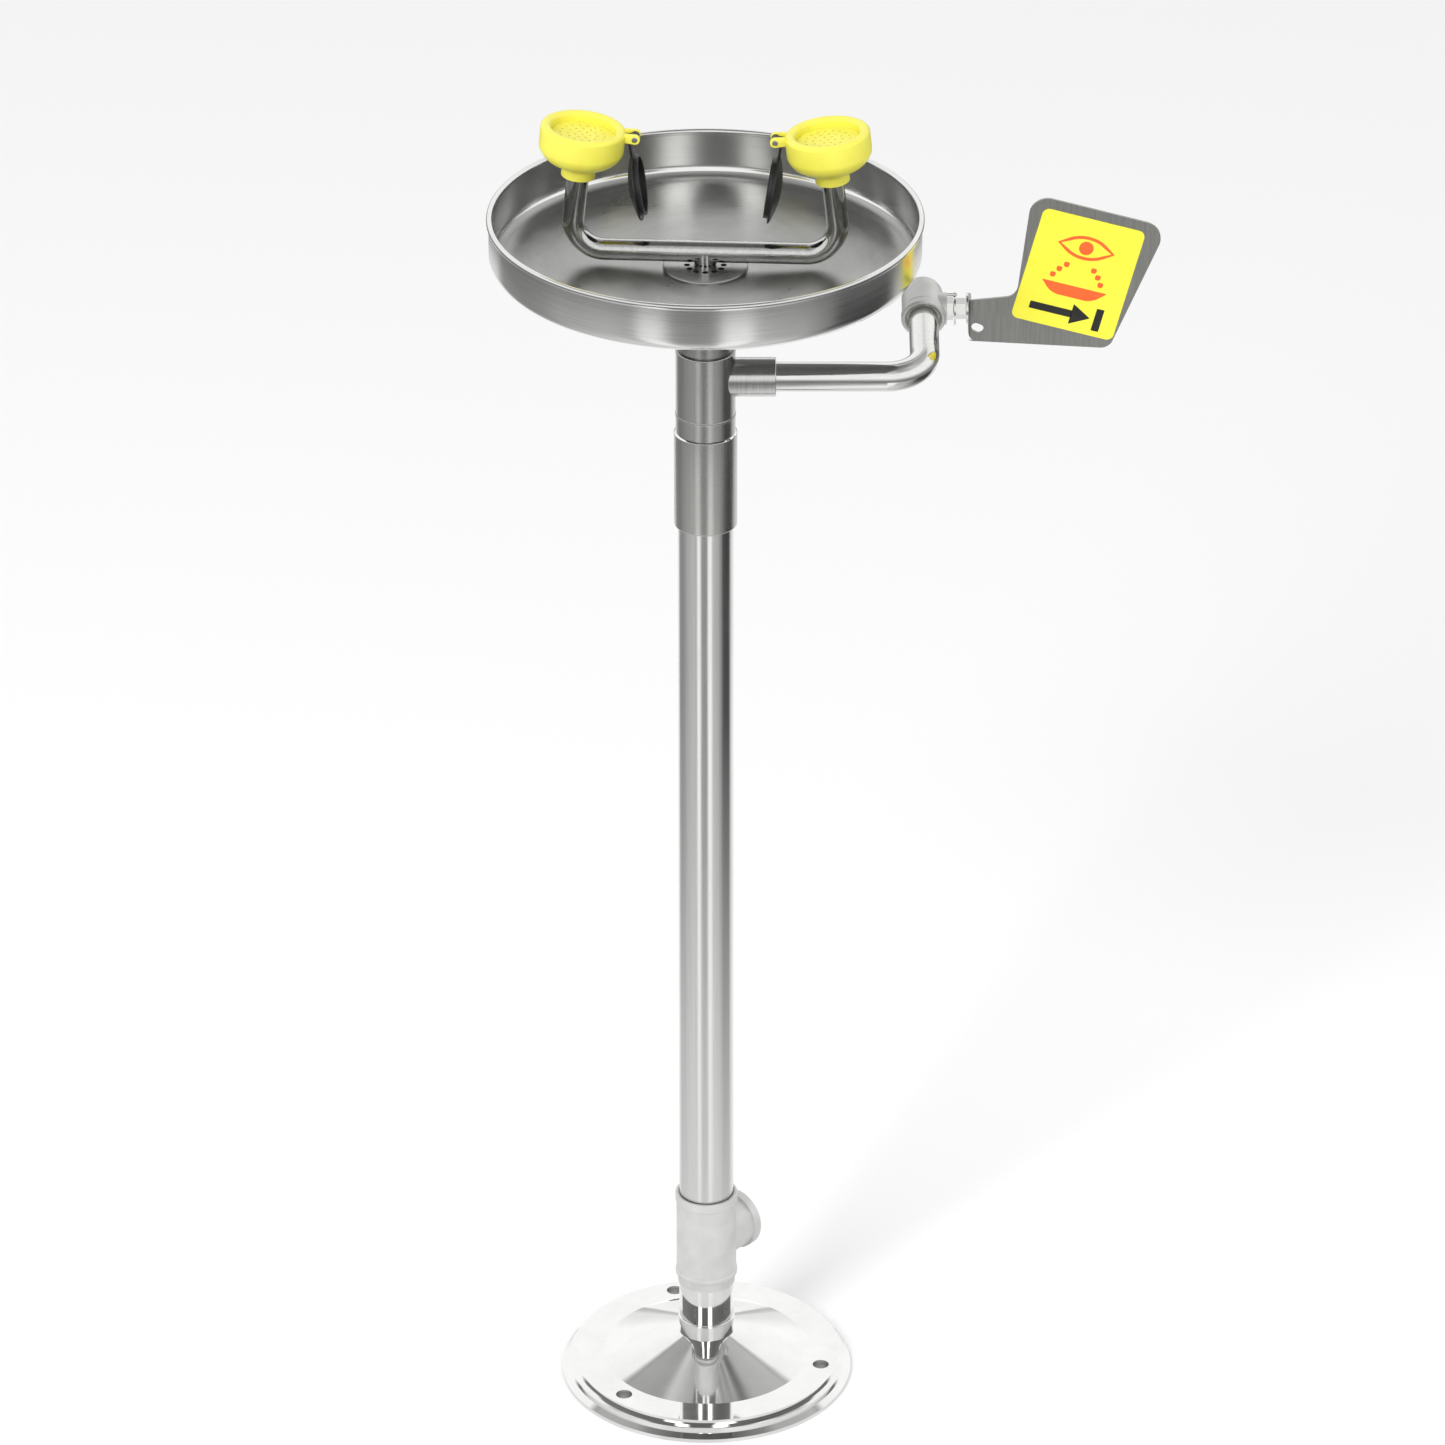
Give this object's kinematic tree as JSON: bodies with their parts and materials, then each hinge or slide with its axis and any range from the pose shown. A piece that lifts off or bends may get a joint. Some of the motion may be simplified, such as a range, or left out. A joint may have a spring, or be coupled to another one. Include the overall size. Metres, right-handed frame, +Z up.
{
  "type": "pedestal emergency eyewash station",
  "caption": "Pedestal eyewash: floor foot, pole with drain tee, round bowl, yellow spray heads with flip caps, and a push paddle on a ball valve.",
  "frame": {"origin": "pole axis at floor level, centre of the anchor circle", "axes": "+Z up, -Y towards the user, +X towards the valve and push paddle"},
  "size_m": [0.4753, 0.3062, 1.0126],
  "materials": {
    "mirror_steel": "mirror-polished stainless steel",
    "plain_steel": "plain machined stainless steel",
    "bright_tube": "bright polished stainless tube",
    "satin_tube": "satin polished stainless tube",
    "brushed_steel": "lengthwise brushed stainless steel",
    "yoke_steel": "polished stainless pipe",
    "bowl_steel": "spun stainless sheet, satin inside and polished outside",
    "blasted_casting": "sand-blasted stainless casting",
    "matt_casting": "matt stainless casting",
    "bright_fitting": "bright turned fittings",
    "paddle_steel": "brushed stainless sheet",
    "yellow_plastic": "bright yellow moulded plastic",
    "black_plastic": "black moulded plastic",
    "black_rubber": "black seal rubber",
    "white_plastic": "white low-friction plastic",
    "filter_foam": "open filter pad",
    "label_film": "printed yellow film"
  },
  "bodies": {
    "stand": {"floor_flange": "plain_steel", "base_cover": "mirror_steel", "base_spacers": "plain_steel", "base_collar": "mirror_steel", "stub_pipe": "mirror_steel", "stub_blank": "plain_steel", "drain_tee": "blasted_casting", "pole": "bright_tube", "pole_sleeve": "brushed_steel", "pole_gasket": "black_rubber", "neck_spigot": "satin_tube", "neck_weld": "satin_tube", "neck_tee": "satin_tube", "side_socket": "satin_tube", "arm_pipe": "bright_tube", "supply_riser": "plain_steel", "riser_coupling": "plain_steel", "bowl": "bowl_steel", "bowl_outlet": "bowl_steel", "strainer": "bowl_steel", "bowl_washer": "black_rubber", "bowl_lock_nut": "plain_steel", "yoke_pipe": "yoke_steel", "left_cup": "yellow_plastic", "right_cup": "yellow_plastic", "left_spray_plate": "yellow_plastic", "right_spray_plate": "yellow_plastic", "left_flow_regulator": "white_plastic", "right_flow_regulator": "white_plastic", "left_filter": "filter_foam", "right_filter": "filter_foam", "left_head_seal": "black_rubber", "right_head_seal": "black_rubber", "left_hinge_pin": "plain_steel", "right_hinge_pin": "plain_steel", "valve_body": "matt_casting", "valve_end_piece": "matt_casting", "end_seal": "black_rubber", "near_ball_seat": "white_plastic", "far_ball_seat": "white_plastic", "stem_packing": "white_plastic", "gland_nut": "bright_fitting", "stop_pin": "bright_fitting"},
    "paddle_lever": {"paddle": "paddle_steel", "paddle_label": "label_film", "jam_nut": "bright_fitting", "handle_washer": "bright_fitting", "handle_nut": "bright_fitting", "stop_washer": "bright_fitting", "valve_stem": "plain_steel", "valve_ball": "mirror_steel"},
    "left_cap": {"left_dust_cap": "black_plastic"},
    "right_cap": {"right_dust_cap": "black_plastic"}
  },
  "joints": [
    {"name": "paddle_valve", "type": "hinge", "parent": "stand", "child": "paddle_lever", "pos_m": [0.155, 0.08341, 0.83371], "axis": [-1, 0, 0], "range_deg": [0, 90]},
    {"name": "left_cap_flip", "type": "hinge", "parent": "stand", "child": "left_cap", "pos_m": [-0.04883, 0.00273, 1.00197], "axis": [-0.0558, -0.9984, 0], "range_deg": [0, 254.7]},
    {"name": "right_cap_flip", "type": "hinge", "parent": "stand", "child": "right_cap", "pos_m": [0.04883, -0.00273, 1.00197], "axis": [0.0558, 0.9984, 0], "range_deg": [0, 254.7]}
  ]
}
